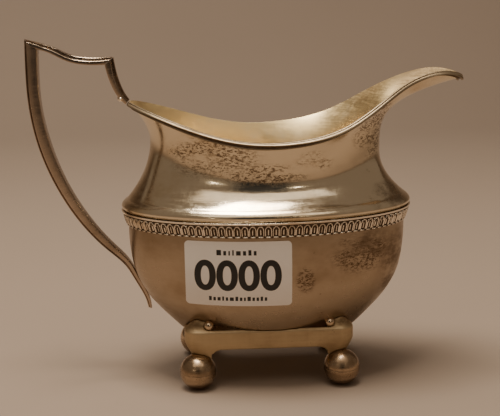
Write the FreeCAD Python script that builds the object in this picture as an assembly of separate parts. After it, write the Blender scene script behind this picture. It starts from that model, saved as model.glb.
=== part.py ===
"""Silver cream jug: an oval bellied jug on a rectangular frame with four ball feet.

Millimetres.  +X points to the pouring lip, -Y is the side that carries the paper label,
+Z is up.  The origin is on the table, midway along the overall length.
"""
import FreeCAD, Part
import math
import os

from FreeCAD import Vector

# ---- overall -------------------------------------------------------------------------
BODY_X = 5.9                  # centre of the oval body
WALL = 0.6                    # sheet silver
SEAT = 0.05                   # clearance left where two curved pieces are soldered together

# ---- lower body: similar ovals, half length against height ---------------------------
WAIST_LENGTH = 48.0           # half length of the oval under the band
WAIST_WIDTH = 29.6            # half width of the same oval
SEAM_Z = 54.4                 # where the lower and upper bodies meet
LOWER_MERIDIAN = (
    (48.0, SEAM_Z), (48.0, 50.0), (47.4, 43.5), (45.7, 36.2), (42.2, 29.6),
    (37.6, 24.0), (32.4, 18.7), (30.1, 16.8), (27.6, 15.9),
)

# ---- upper body: shoulder roll, hollow neck and mouth --------------------------------
SHOULDER_LENGTH = 50.2        # half length at the fullest part of the shoulder
SHOULDER_WIDTH = 31.8
SHOULDER_MERIDIAN = (         # inset from the fullest oval, height
    (2.2, SEAM_Z), (1.5, 57.0), (0.6, 59.6), (0.0, 60.8), (0.4, 61.9), (2.1, 63.4),
)
NECK_LENGTH = 39.6            # half length of the oval at the narrowest part of the neck
NECK_WIDTH = 24.4
NECK_POWER = 2.0              # how quickly the shoulder draws in to the neck
FLARE_POWER = 1.8             # how quickly the neck opens to the mouth
SPOUT_FLARE_POWER = 1.9       # added to it under the lip
NECK_RISE = 0.61              # height of the narrowest part, as a share of the neck
SPOUT_NECK_DROP = 0.24        # how much lower that share is under the lip
SIDE_NECK_DROP = 0.21         # how much lower it is on the long sides
NECK_STATIONS = 16
MOUTH = (                     # bearing in degrees from the lip, x, half width, height
    (0, 68.6, 0.0, 102.3), (8, 66.8, 4.3, 103.6), (16, 60.0, 7.6, 104.8),
    (24, 51.5, 10.6, 103.0), (37, 40.5, 18.0, 97.6), (55, 27.0, 25.0, 89.8),
    (78, 10.0, 27.4, 85.3), (102, -8.0, 25.9, 85.2), (130, -27.0, 20.6, 89.9),
    (155, -40.5, 11.3, 94.6), (180, -46.6, 0.0, 96.4),
)

# ---- applied band and rim wire --------------------------------------------------------
BAND_THICKNESS = 0.6
BAND_BOTTOM_Z = 54.1
BAND_TOP_Z = 59.4
RIM_WIRE_HEIGHT = 2.2
RIM_WIRE_THICKNESS = 1.1

# ---- base ------------------------------------------------------------------------------
BASE_X = 5.1                  # the frame sits a little towards the handle
BASE_PLATE_THICKNESS = 0.6
FRAME_HALF_LENGTH = 28.9
FRAME_HALF_WIDTH = 21.2
FRAME_CORNER_RADIUS = 5.0
FRAME_BOTTOM_Z = 10.2         # lowest point of the legs, which saddle over the balls
FRAME_SHOULDER_Z = 19.8       # top of the upright outer faces
FRAME_SLOPE = 3.8             # above them the frame slopes in and up by this much
FRAME_WALL = 1.0
LEG_SECTIONS = (              # height, inset of the end faces, inset of the long faces
    (FRAME_BOTTOM_Z, 2.3, 1.0), (12.5, 1.7, 0.7), (14.6, 0.5, 0.2), (16.4, 0.0, 0.0),
)
SIDE_ARCH_Z = 13.5            # underside of the apron between the legs, on the long sides
END_ARCH_Z = 13.2             # the same on the short sides
ARCH_HALF_LENGTH = 19.9       # half the clear way between the legs, along X
ARCH_HALF_WIDTH = 13.4        # the same along Y
ARCH_RADIUS = 3.4
BALL_RADIUS = 6.2
BALL_CENTRE_Z = 6.0           # lower than the radius, so each ball has a worn flat
BALL_X = 24.6
BALL_Y = 19.4
STUD_X = 20.6
STUD_Y = 19.3
STUD_Z = 21.9
STUD_HEAD_RADIUS = 1.7
STUD_SHANK_RADIUS = 0.8
STUD_LENGTH = 4.5

# ---- handle: inner edge, outer edge and width of the bar at each station ---------------
RISER = (                     # x inner, z inner, x outer, z outer, width
    (-53.9, 109.4, -51.0, 111.9, 5.6), (-52.9, 105.2, -50.0, 106.3, 5.4),
    (-51.4, 101.2, -48.8, 102.4, 5.0), (-49.4, 97.9, -47.4, 99.3, 4.4),
    (-47.2, 95.6, -45.4, 97.2, 3.6),
)
TOP_BAR = (
    (-76.3, 115.2, -80.6, 118.6, 6.4), (-71.8, 113.7, -71.2, 115.8, 6.2),
    (-66.2, 110.9, -65.6, 113.2, 6.0), (-60.5, 109.7, -60.3, 112.1, 5.8),
    (-54.0, 109.5, -51.1, 112.0, 5.6),
)
GRIP = (
    (-76.3, 115.0, -80.7, 118.4, 6.4), (-76.5, 107.0, -80.9, 107.0, 6.3),
    (-76.1, 96.0, -80.4, 95.3, 6.1), (-73.9, 84.2, -78.1, 82.6, 5.9),
    (-69.2, 70.5, -73.0, 68.8, 5.6), (-61.6, 56.9, -64.8, 54.9, 5.2),
    (-53.3, 46.7, -55.6, 44.7, 4.8),
)
TAIL = (                      # the end of the bar, flattened against the lower body
    (-47.2, 39.9, -49.3, 38.5, 4.4), (-45.0, 35.4, -47.0, 34.6, 4.0),
    (-42.8, 31.2, -44.8, 30.6, 3.5), (-41.5, 27.4, -43.1, 27.0, 2.9),
    (-41.0, 23.7, -42.2, 23.6, 1.9),
)
RIDGE_HEIGHT = 0.9            # rise of the gabled outer face

# ---- paper label on the lower body -----------------------------------------------------
LABEL_LEFT_X = -28.7
LABEL_RIGHT_X = 6.4
LABEL_TOP_Z = 53.0
LABEL_BOTTOM_Z = 30.4
LABEL_CORNER_RADIUS = 1.4
LABEL_THICKNESS = 0.15

OVAL_POINTS = 32              # points on a ring of the plain oval belly
RING_POINTS = 72              # points on a ring of the shoulder, neck and mouth
BUMP = 1e-4                   # step for numerical slopes


def oval_point(half_length, half_width, bearing, height):
    """Point of an oval about the body's axis at a bearing in radians."""
    x = BODY_X + half_length * math.cos(bearing)
    y = half_width * math.sin(bearing)
    return Vector(x, y, height)


def spline_through(points):
    curve = Part.BSplineCurve()
    curve.interpolate([Vector(x, 0, z) for x, z in points])
    return curve


def spline_at(curve, share):
    first = curve.FirstParameter
    return curve.value(first + (curve.LastParameter - first) * share)


def mouth_curve():
    """Closed space curve of the mouth, whose parameter is the bearing in degrees."""
    ahead = [(b, Vector(BODY_X + x, w, z)) for b, x, w, z in MOUTH]
    behind = [(360 - b, Vector(BODY_X + x, -w, z)) for b, x, w, z in reversed(MOUTH[1:-1])]
    stations = ahead + behind
    curve = Part.BSplineCurve()
    curve.interpolate(
        Points=[p for _, p in stations],
        Parameters=[float(b) for b, _ in stations] + [360.0],
        PeriodicFlag=True,
    )
    return curve


LOWER_CURVE = spline_through(LOWER_MERIDIAN)
SHOULDER_CURVE = spline_through(SHOULDER_MERIDIAN)
MOUTH_CURVE = mouth_curve()


def lower_point(bearing, share):
    """Outside of the lower body; share runs from 0 at the seam to 1 at the base."""
    place = spline_at(LOWER_CURVE, min(max(share, 0.0), 1.0))
    half_width = place.x * WAIST_WIDTH / WAIST_LENGTH
    return oval_point(place.x, half_width, bearing, place.z)


def neck_point(bearing, share):
    """Outside of the neck; share runs from 0 at the shoulder to 1 at the mouth."""
    inset, foot_z = SHOULDER_MERIDIAN[-1]
    foot = oval_point(SHOULDER_LENGTH - inset, SHOULDER_WIDTH - inset, bearing, foot_z)
    waist = oval_point(NECK_LENGTH, NECK_WIDTH, bearing, foot_z)
    mouth = MOUTH_CURVE.value(math.degrees(bearing) % 360.0)
    spout = ((1 + math.cos(bearing)) / 2) ** 4
    narrow = NECK_RISE - SPOUT_NECK_DROP * spout - SIDE_NECK_DROP * math.sin(bearing) ** 2
    draw_in = max(0.0, 1 - share / narrow) ** NECK_POWER
    open_out = max(0.0, (share - narrow) / (1 - narrow)) ** (FLARE_POWER + SPOUT_FLARE_POWER * spout)
    point = waist + (foot - waist) * draw_in + (mouth - waist) * open_out
    point.z = foot_z + (mouth.z - foot_z) * share
    return point


def upper_point(bearing, share):
    """Outside of the upper body; 0 to 1 is the shoulder roll, 1 to 2 the neck."""
    share = min(max(share, 0.0), 2.0)
    if share > 1.0:
        return neck_point(bearing, share - 1.0)
    place = spline_at(SHOULDER_CURVE, share)
    return oval_point(SHOULDER_LENGTH - place.x, SHOULDER_WIDTH - place.x, bearing, place.z)


def outward(surface, bearing, share, top):
    """Unit normal of a surface of ovals, pointing away from the body's axis."""
    around = surface(bearing + BUMP, share) - surface(bearing - BUMP, share)
    high = min(share + BUMP, top)
    low = max(share - BUMP, 0.0)
    along = surface(bearing, high) - surface(bearing, low)
    normal = around.cross(along)
    normal.normalize()
    place = surface(bearing, share)
    if normal.dot(Vector(place.x - BODY_X, place.y, 0)) < 0:
        normal = normal * -1.0
    return normal


def ring(points):
    """Closed smooth edge through points at equal steps of bearing, as a wire."""
    steps = [float(i) for i in range(len(points) + 1)]
    curve = Part.BSplineCurve()
    curve.interpolate(Points=points, Parameters=steps, PeriodicFlag=True)
    return Part.Wire([curve.toShape()])


def bearings(count):
    return [2 * math.pi * i / count for i in range(count)]


def offset_ring(surface, share, top, distance, count):
    """Ring of a surface at one station, moved outwards by a distance."""
    points = []
    for bearing in bearings(count):
        normal = outward(surface, bearing, share, top)
        points.append(surface(bearing, share) + normal * distance)
    return ring(points)


def skin(rings):
    """Smooth faces through a stack of rings."""
    return Part.makeLoft(rings, False, False).Faces


def strip(first, second):
    """Straight-lined face between two rings."""
    return Part.makeRuledSurface(first.Edges[0], second.Edges[0]).Faces


def closed_solid(faces):
    shell = Part.makeShell(faces)
    shell.sewShape()
    solid = Part.makeSolid(Part.Shell(shell.Faces))
    if solid.Volume < 0:
        solid.reverse()
    return solid


def shell_between(outer, inner):
    """Solid wall between two stacks of rings that start and end level with each other."""
    faces = skin(outer) + skin(inner)
    faces += strip(outer[0], inner[0])
    faces += strip(outer[-1], inner[-1])
    return closed_solid(faces)


def ring_bar(corners):
    """Endless bar whose section is the polygon of the given rings."""
    faces = []
    for i in range(len(corners)):
        faces += strip(corners[i - 1], corners[i])
    return closed_solid(faces)


def lower_shares():
    return [i / 12.0 for i in range(13)]


def lower_body():
    """Belly, open at the seam and turned in at the base."""
    outer = [offset_ring(lower_point, s, 1.0, 0.0, OVAL_POINTS) for s in lower_shares()]
    inner = [offset_ring(lower_point, s, 1.0, -WALL, OVAL_POINTS) for s in lower_shares()]
    return shell_between(outer, inner)


def belly_block(distance):
    """Solid block as large as the outside of the lower body plus a distance."""
    rings = []
    for share in lower_shares():
        place = spline_at(LOWER_CURVE, share)
        length = place.x + distance
        width = place.x * WAIST_WIDTH / WAIST_LENGTH + distance
        height = place.z - distance * share
        rings.append(ring([oval_point(length, width, b, height) for b in bearings(OVAL_POINTS)]))
    return closed_solid(skin(rings) + [Part.Face(rings[0]), Part.Face(rings[-1])])


def base_plate():
    """Flat oval plate let into the turned-in edge of the lower body."""
    half_length, edge_z = LOWER_MERIDIAN[-1]
    length = half_length - SEAT
    width = length * WAIST_WIDTH / WAIST_LENGTH
    plate = Part.Ellipse(Vector(BODY_X, 0, edge_z - SEAT), length, width)
    face = Part.Face(Part.Wire([plate.toShape()]))
    solid = face.extrude(Vector(0, 0, BASE_PLATE_THICKNESS))
    return solid.cut(lower_body())


def upper_shares():
    shoulder = [i / 8.0 for i in range(8)]
    neck = [1 + i / float(NECK_STATIONS) for i in range(NECK_STATIONS + 1)]
    return shoulder + neck


def upper_body():
    """Shoulder and neck, which open to the mouth and its lip."""
    outer = [offset_ring(upper_point, s, 2.0, 0.0, RING_POINTS) for s in upper_shares()]
    inner = [offset_ring(upper_point, s, 2.0, -WALL, RING_POINTS) for s in upper_shares()]
    return shell_between(outer, inner)


def band_ring(inset, height):
    length = SHOULDER_LENGTH - inset
    width = SHOULDER_WIDTH - inset
    return ring([oval_point(length, width, b, height) for b in bearings(OVAL_POINTS)])


def shoulder_band():
    """Applied band of ornament that covers the seam under the shoulder."""
    low = SHOULDER_MERIDIAN[0][0] - SEAT
    high = SHOULDER_MERIDIAN[2][0] - 2 * SEAT
    corners = (
        band_ring(low, BAND_BOTTOM_Z),
        band_ring(low - BAND_THICKNESS, BAND_BOTTOM_Z),
        band_ring(high - BAND_THICKNESS, BAND_TOP_Z),
        band_ring(high, BAND_TOP_Z),
    )
    return ring_bar(corners)


def share_below_mouth(bearing, distance):
    """Station on the neck that lies a distance below the mouth, along the surface."""
    step = 0.002
    share = 2.0
    last = upper_point(bearing, share)
    travelled = 0.0
    while travelled < distance:
        share -= step
        place = upper_point(bearing, share)
        travelled += (place - last).Length
        last = place
    return share


def rim_wire():
    """Reeded wire soldered round the outside of the mouth."""
    rows = ([], [], [], [])
    for bearing in bearings(RING_POINTS):
        low = share_below_mouth(bearing, RIM_WIRE_HEIGHT)
        for row, share, distance in (
            (0, 2.0, SEAT),
            (1, 2.0, RIM_WIRE_THICKNESS),
            (2, low, RIM_WIRE_THICKNESS),
            (3, low, SEAT),
        ):
            normal = outward(upper_point, bearing, share, 2.0)
            rows[row].append(upper_point(bearing, share) + normal * distance)
    return ring_bar([ring(row) for row in rows])


def rounded_rectangle(x0, x1, y0, y1, radius):
    """Closed wire in the XY plane."""
    turn = math.sqrt(0.5) * radius
    corners = (
        (x1 - radius, y1 - radius, 1, 1), (x0 + radius, y1 - radius, -1, 1),
        (x0 + radius, y0 + radius, -1, -1), (x1 - radius, y0 + radius, 1, -1),
    )
    arcs = []
    for cx, cy, sx, sy in corners:
        on_x = Vector(cx + sx * radius, cy, 0)
        middle = Vector(cx + sx * turn, cy + sy * turn, 0)
        on_y = Vector(cx, cy + sy * radius, 0)
        first, last = (on_x, on_y) if sx * sy > 0 else (on_y, on_x)
        arcs.append(Part.Arc(first, middle, last).toShape())
    edges = []
    for i, arc in enumerate(arcs):
        following = arcs[(i + 1) % len(arcs)]
        edges.append(arc)
        edges.append(Part.LineSegment(arc.lastVertex(True).Point, following.firstVertex(True).Point).toShape())
    return Part.Wire(edges)


def arch_tool(half_way, reach, height):
    """Block that cuts one arched opening right through the frame, along its own Y."""
    block = Part.makeBox(2 * half_way, 2 * reach, height, Vector(-half_way, -reach, 0))
    top_edges = [e for e in block.Edges
                 if abs(e.CenterOfMass.z - height) < BUMP and abs(e.CenterOfMass.y) < BUMP]
    return block.makeFillet(ARCH_RADIUS, top_edges)


def frame_outline(inset_x, inset_y, height):
    outline = rounded_rectangle(
        inset_x - FRAME_HALF_LENGTH, FRAME_HALF_LENGTH - inset_x,
        inset_y - FRAME_HALF_WIDTH, FRAME_HALF_WIDTH - inset_y, FRAME_CORNER_RADIUS - inset_y)
    outline.translate(Vector(0, 0, height))
    return outline


def frame_block():
    """Outside of the frame before it is hollowed: drawn-in legs, upright apron, sloping top."""
    legs = Part.makeLoft([frame_outline(x, y, z) for z, x, y in LEG_SECTIONS], True, False)
    apron_z = LEG_SECTIONS[-1][0]
    top_z = FRAME_SHOULDER_Z + FRAME_SLOPE
    apron = Part.Face(frame_outline(0.0, 0.0, apron_z)).extrude(Vector(0, 0, top_z - apron_z))
    top_edges = [e for e in apron.Edges if e.BoundBox.ZMin > top_z - BUMP]
    return legs.fuse(apron.makeChamfer(FRAME_SLOPE, top_edges))


def foot_frame():
    """Rectangular frame with four arched sides, fitted to the underside of the body."""
    height = FRAME_SHOULDER_Z + FRAME_SLOPE - FRAME_BOTTOM_Z
    inner_length = FRAME_HALF_LENGTH - FRAME_WALL
    inner_width = FRAME_HALF_WIDTH - FRAME_WALL
    lengthwise = Part.makeBox(
        2 * inner_length, 2 * ARCH_HALF_WIDTH, height, Vector(-inner_length, -ARCH_HALF_WIDTH, FRAME_BOTTOM_Z))
    crosswise = Part.makeBox(
        2 * ARCH_HALF_LENGTH, 2 * inner_width, height, Vector(-ARCH_HALF_LENGTH, -inner_width, FRAME_BOTTOM_Z))
    frame = frame_block().cut(lengthwise).cut(crosswise)
    end_arch = arch_tool(ARCH_HALF_WIDTH, 2 * FRAME_HALF_LENGTH, END_ARCH_Z)
    end_arch.rotate(Vector(0, 0, 0), Vector(0, 0, 1), 90)
    side_arch = arch_tool(ARCH_HALF_LENGTH, 2 * FRAME_HALF_WIDTH, SIDE_ARCH_Z)
    frame = frame.cut(side_arch).cut(end_arch)
    frame.translate(Vector(BASE_X, 0, 0))
    frame = frame.cut(belly_block(SEAT))
    for sx, sy, _ in corners_of_base():
        frame = frame.cut(Part.makeSphere(BALL_RADIUS, ball_centre(sx, sy)))
        frame = frame.cut(frame_stud(sx, sy))
    return frame


def ball_centre(sx, sy):
    return Vector(BASE_X + sx * BALL_X, sy * BALL_Y, BALL_CENTRE_Z)


def corners_of_base():
    return (
        (-1, -1, "front_handle"), (1, -1, "front_spout"),
        (-1, 1, "rear_handle"), (1, 1, "rear_spout"),
    )


def frame_stud(sx, sy):
    """Bead on a shank, sunk into one corner of the frame against the belly."""
    centre = Vector(BASE_X + sx * STUD_X, sy * STUD_Y, STUD_Z)
    bead = Part.makeSphere(STUD_HEAD_RADIUS, centre)
    shank = Part.makeCylinder(STUD_SHANK_RADIUS, STUD_LENGTH, centre - Vector(0, 0, STUD_LENGTH))
    return shank.fuse(bead).removeSplitter().cut(belly_block(SEAT))


def ball_half(sx, sy, upper):
    """One half of a hollow ball foot; the halves are soldered edge to edge."""
    centre = ball_centre(sx, sy)
    ball = Part.makeSphere(BALL_RADIUS, centre)
    ball = ball.cut(Part.makeSphere(BALL_RADIUS - WALL, centre))
    low = BALL_CENTRE_Z if upper else 0.0
    high = BALL_CENTRE_Z + BALL_RADIUS if upper else BALL_CENTRE_Z
    span = 2 * BALL_RADIUS
    corner = Vector(centre.x - BALL_RADIUS, centre.y - BALL_RADIUS, low)
    return ball.common(Part.makeBox(span, span, high - low, corner))


def bar_section(x_in, z_in, x_out, z_out, width):
    """Five-sided section of the handle bar: flat inside, low gable outside."""
    inside = Vector(BODY_X + x_in, 0, z_in)
    outside = Vector(BODY_X + x_out, 0, z_out)
    depth = outside - inside
    shoulder = inside + depth * max(0.4, 1 - RIDGE_HEIGHT / depth.Length)
    side = Vector(0, width / 2.0, 0)
    points = (inside - side, inside + side, shoulder + side, outside, shoulder - side)
    return Part.makePolygon(list(points) + [points[0]])


def bar_through(stations):
    return Part.makeLoft([bar_section(*s) for s in stations], True, False)


def lot_label():
    """Paper label stuck to the near side of the lower body."""
    outline = rounded_rectangle(
        BODY_X + LABEL_LEFT_X, BODY_X + LABEL_RIGHT_X, LABEL_BOTTOM_Z, LABEL_TOP_Z, LABEL_CORNER_RADIUS)
    outline.rotate(Vector(0, 0, 0), Vector(1, 0, 0), 90)
    window = Part.Face(outline).extrude(Vector(0, -2 * WAIST_WIDTH, 0))
    sheet = belly_block(SEAT + LABEL_THICKNESS).cut(belly_block(SEAT))
    return sheet.common(window)


def handle_riser():
    """Short bar from the handle end of the mouth up to the top bar, coped over the rim."""
    return bar_through(RISER).cut(rim_wire()).cut(upper_body())


def handle_grip():
    """Long curved grip, which ends in a flattened tail against the lower body."""
    return bar_through(GRIP + TAIL).cut(belly_block(SEAT))


def write(node, shape):
    shape = Part.Solid(shape.Solids[0]) if len(shape.Solids) == 1 else shape
    print("%-28s valid %s solids %d volume %.1f" % (node, shape.isValid(), len(shape.Solids), shape.Volume))
    shape.exportStep("parts/" + node + ".step")


def main():
    os.makedirs("parts", exist_ok=True)
    write("lower_body", lower_body())
    write("base_plate", base_plate())
    write("upper_body", upper_body())
    write("shoulder_band", shoulder_band())
    write("rim_wire", rim_wire())
    write("foot_frame", foot_frame())
    for sx, sy, corner in corners_of_base():
        write("frame_stud_" + corner, frame_stud(sx, sy))
        write("ball_foot_" + corner + "_upper", ball_half(sx, sy, True))
        write("ball_foot_" + corner + "_lower", ball_half(sx, sy, False))
    write("handle_riser", handle_riser())
    write("handle_top_bar", bar_through(TOP_BAR))
    write("handle_grip", handle_grip())
    write("lot_label", lot_label())


main()
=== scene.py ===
import math

import bmesh
import bpy
import numpy as np
from mathutils import Matrix, Vector


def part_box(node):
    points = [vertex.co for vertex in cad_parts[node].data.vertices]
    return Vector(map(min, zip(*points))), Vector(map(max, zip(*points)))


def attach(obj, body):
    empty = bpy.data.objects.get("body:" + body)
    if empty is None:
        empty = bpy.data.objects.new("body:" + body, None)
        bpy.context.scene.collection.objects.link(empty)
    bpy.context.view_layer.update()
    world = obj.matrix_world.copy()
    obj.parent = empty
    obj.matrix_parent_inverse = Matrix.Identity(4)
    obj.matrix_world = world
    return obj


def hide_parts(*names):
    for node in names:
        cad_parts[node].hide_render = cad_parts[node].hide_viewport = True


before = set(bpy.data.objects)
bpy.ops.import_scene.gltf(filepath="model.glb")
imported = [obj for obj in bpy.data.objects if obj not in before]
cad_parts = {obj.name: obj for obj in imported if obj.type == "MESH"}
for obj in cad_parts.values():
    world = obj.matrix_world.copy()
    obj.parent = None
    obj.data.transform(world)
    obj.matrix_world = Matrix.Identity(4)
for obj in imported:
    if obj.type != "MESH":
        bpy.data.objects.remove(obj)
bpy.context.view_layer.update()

MM = 0.001
SHARP_EDGE = 40               # degrees between faces from which an edge isn't shaded smooth
TURN = 2 * math.pi


# ---- shape of the jug, in millimetres, the same driving sizes as the design ----------------------
BODY_X = sum(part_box("lower_body")[i][0] for i in (0, 1)) / 2 / MM
WALL = 0.6
SEAT = 0.05
SEAM_Z = 54.4
WAIST_LENGTH = 48.0
WAIST_WIDTH = 29.6
LOWER_MERIDIAN = (
    (48.0, SEAM_Z), (48.0, 50.0), (47.4, 43.5), (45.7, 36.2), (42.2, 29.6),
    (37.6, 24.0), (32.4, 18.7), (30.1, 16.8), (27.6, 15.9),
)
SHOULDER_LENGTH = 50.2
SHOULDER_WIDTH = 31.8
SHOULDER_MERIDIAN = (
    (2.2, SEAM_Z), (1.5, 57.0), (0.6, 59.6), (0.0, 60.8), (0.4, 61.9), (2.1, 63.4),
)
NECK_LENGTH = 39.6
NECK_WIDTH = 24.4
NECK_POWER = 2.0
FLARE_POWER = 1.8
SPOUT_FLARE_POWER = 1.9
NECK_RISE = 0.61
SPOUT_NECK_DROP = 0.24
SIDE_NECK_DROP = 0.21
SPOUT_FOCUS = 4               # how closely the spout's share of the neck gathers about the lip
MOUTH = (                     # bearing in degrees from the lip, x, half width, height
    (0, 68.6, 0.0, 102.3), (8, 66.8, 4.3, 103.6), (16, 60.0, 7.6, 104.8),
    (24, 51.5, 10.6, 103.0), (37, 40.5, 18.0, 97.6), (55, 27.0, 25.0, 89.8),
    (78, 10.0, 27.4, 85.3), (102, -8.0, 25.9, 85.2), (130, -27.0, 20.6, 89.9),
    (155, -40.5, 11.3, 94.6), (180, -46.6, 0.0, 96.4),
)
RIM_WIRE_HEIGHT = 2.2
RIM_WIRE_THICKNESS = 1.1
BAND_THICKNESS = 0.6
BAND_BOTTOM_Z = 54.1
BAND_TOP_Z = 59.4
RISER = (                     # x inner, z inner, x outer, z outer, width
    (-53.9, 109.4, -51.0, 111.9, 5.6), (-52.9, 105.2, -50.0, 106.3, 5.4),
    (-51.4, 101.2, -48.8, 102.4, 5.0), (-49.4, 97.9, -47.4, 99.3, 4.4),
    (-47.5, 95.9, -46.1, 97.4, 3.7),
)
TOP_BAR = (
    (-76.3, 115.2, -80.6, 118.6, 6.4), (-71.8, 113.7, -71.2, 115.8, 6.2),
    (-66.2, 110.9, -65.6, 113.2, 6.0), (-60.5, 109.7, -60.3, 112.1, 5.8),
    (-54.0, 109.5, -51.1, 112.0, 5.6),
)
GRIP = (
    (-76.3, 115.0, -80.7, 118.4, 6.4), (-76.5, 107.0, -80.9, 107.0, 6.3),
    (-76.1, 96.0, -80.4, 95.3, 6.1), (-73.9, 84.2, -78.1, 82.6, 5.9),
    (-69.2, 70.5, -73.0, 68.8, 5.6), (-61.6, 56.9, -64.8, 54.9, 5.2),
    (-53.3, 46.7, -55.6, 44.7, 4.8), (-47.4, 39.8, -49.3, 38.5, 4.4),
    (-45.3, 35.4, -47.0, 34.6, 4.0), (-43.1, 31.1, -44.8, 30.6, 3.5),
    (-41.6, 27.4, -43.1, 27.0, 2.9), (-41.0, 23.7, -42.2, 23.6, 1.9),
)
RIDGE_HEIGHT = 1.5
SEAM_GROOVE = 0.07            # hairline groove where the two halves of a ball meet
SEAM_SPREAD = 0.12
STUD_LENGTH = 4.5             # from the bottom of the shank to the centre of the bead
STUD_SHANK = 0.8


# ---- curves and surfaces -------------------------------------------------------------------------
def cubic(knots, values, closed=False):
    """Smooth curve through values at knots, as a function; a closed one ends where it began."""
    t = np.asarray(knots, float)
    v = np.asarray(values, float)
    h = np.diff(t)
    slope = np.diff(v, axis=0) / h[:, None]
    n = len(t)
    size = n - 1 if closed else n
    a = np.zeros((size, size))
    rhs = np.zeros((size, v.shape[1]))
    for i in range(size):
        if not closed and i in (0, n - 1):
            a[i, i] = 1.0
            continue
        before = h[i - 1]
        after = h[i]
        a[i, (i - 1) % size] += before
        a[i, i] += 2 * (before + after)
        a[i, (i + 1) % size] += after
        rhs[i] = 6 * (slope[i] - slope[i - 1])
    bend = np.linalg.solve(a, rhs)
    if closed:
        bend = np.vstack([bend, bend[:1]])

    def at(where):
        w = np.asarray(where, float)
        i = np.clip(np.searchsorted(t, w, side="right") - 1, 0, n - 2)
        left = (t[i + 1] - w)[..., None]
        right = (w - t[i])[..., None]
        step = h[i][..., None]
        value = (bend[i] * left ** 3 + bend[i + 1] * right ** 3) / (6 * step)
        value += (v[i] / step - bend[i] * step / 6) * left
        return value + (v[i + 1] / step - bend[i + 1] * step / 6) * right

    return at


def by_length(path, values):
    """Smooth curve through values, as a function of the share of the way along a path, 0 to 1."""
    way = np.concatenate([[0.0], np.cumsum(np.linalg.norm(np.diff(path, axis=0), axis=1))])
    return cubic(way / way[-1], values)


def mouth_stations():
    """Stations of the mouth all the way round, with the far side mirrored from the near one."""
    ahead = [(b, x, w, z) for b, x, w, z in MOUTH]
    behind = [(360 - b, x, -w, z) for b, x, w, z in reversed(MOUTH[1:-1])]
    first = MOUTH[0]
    return np.array(ahead + behind + [(360.0,) + first[1:]], float)


LOWER_CURVE = by_length(LOWER_MERIDIAN, LOWER_MERIDIAN)
SHOULDER_CURVE = by_length(SHOULDER_MERIDIAN, SHOULDER_MERIDIAN)
MOUTH_CURVE = cubic(mouth_stations()[:, 0], mouth_stations()[:, 1:], closed=True)


def oval(half_length, half_width, bearing, height):
    """Points of an oval about the body's axis."""
    x = BODY_X + half_length * np.cos(bearing)
    y = half_width * np.sin(bearing)
    return np.stack(np.broadcast_arrays(x, y, height), axis=-1).astype(float)


def lower_surface(bearing, share):
    """The belly, from the seam at 0 to its bottom edge at 1."""
    place = LOWER_CURVE(np.clip(share, 0.0, 1.0))
    width = place[..., 0] * WAIST_WIDTH / WAIST_LENGTH
    return oval(place[..., 0], width, bearing, place[..., 1])


def neck_surface(bearing, share):
    """The neck, from the shoulder roll at 0 to the mouth at 1: it draws in, then flares."""
    inset, foot_z = SHOULDER_MERIDIAN[-1]
    foot = oval(SHOULDER_LENGTH - inset, SHOULDER_WIDTH - inset, bearing, foot_z)
    waist = oval(NECK_LENGTH, NECK_WIDTH, bearing, foot_z)
    mouth = MOUTH_CURVE(np.degrees(bearing) % 360.0)
    mouth[..., 0] += BODY_X
    spout = ((1 + np.cos(bearing)) / 2) ** SPOUT_FOCUS
    narrow = NECK_RISE - SPOUT_NECK_DROP * spout - SIDE_NECK_DROP * np.sin(bearing) ** 2
    draw_in = np.maximum(0.0, 1 - share / narrow) ** NECK_POWER
    flare = FLARE_POWER + SPOUT_FLARE_POWER * spout
    open_out = np.maximum(0.0, (share - narrow) / (1 - narrow)) ** flare
    point = waist + (foot - waist) * draw_in[..., None] + (mouth - waist) * open_out[..., None]
    point[..., 2] = foot_z + (mouth[..., 2] - foot_z) * share
    return point


def upper_surface(bearing, share):
    """0 to 1 is the shoulder roll, 1 to 2 the neck."""
    bearing, share = np.broadcast_arrays(bearing, np.clip(share, 0.0, 2.0))
    roll = SHOULDER_CURVE(np.clip(share, 0.0, 1.0))
    inset = roll[..., 0]
    low = oval(SHOULDER_LENGTH - inset, SHOULDER_WIDTH - inset, bearing, roll[..., 1])
    high = neck_surface(bearing, np.clip(share - 1.0, 0.0, 1.0))
    return np.where((share > 1.0)[..., None], high, low)


def outward(surface, bearing, share, top):
    """Unit normals of a surface, pointing away from the body's axis."""
    step = 1e-3
    around = surface(bearing + step, share) - surface(bearing - step, share)
    above = surface(bearing, np.minimum(share + step, top))
    along = above - surface(bearing, np.maximum(share - step, 0.0))
    normal = np.cross(around, along)
    normal /= np.linalg.norm(normal, axis=-1)[..., None]
    place = surface(bearing, share)
    facing = normal[..., 0] * (place[..., 0] - BODY_X) + normal[..., 1] * place[..., 1]
    return normal * np.where(facing < 0, -1.0, 1.0)[..., None]


def hand_worked(points, depth):
    """Slow shallow waves of a hammered and handled surface, as a distance along the normal.

    Three waves, each shorter and shallower than the one before.
    """
    x, y, z = (points[..., i] for i in range(3))
    wave = np.sin(x * 0.21 + 1.3 * np.sin(z * 0.11)) * np.cos(z * 0.17 + 0.6 * np.sin(y * 0.23))
    wave += 0.6 * np.sin(x * 0.43 + z * 0.31 + 2.0) * np.sin(y * 0.37 + 0.5)
    wave += 0.3 * np.sin(z * 0.83 + 0.9 * np.sin(x * 0.35)) * np.cos(x * 0.71 + y * 0.52)
    return depth * wave


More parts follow.
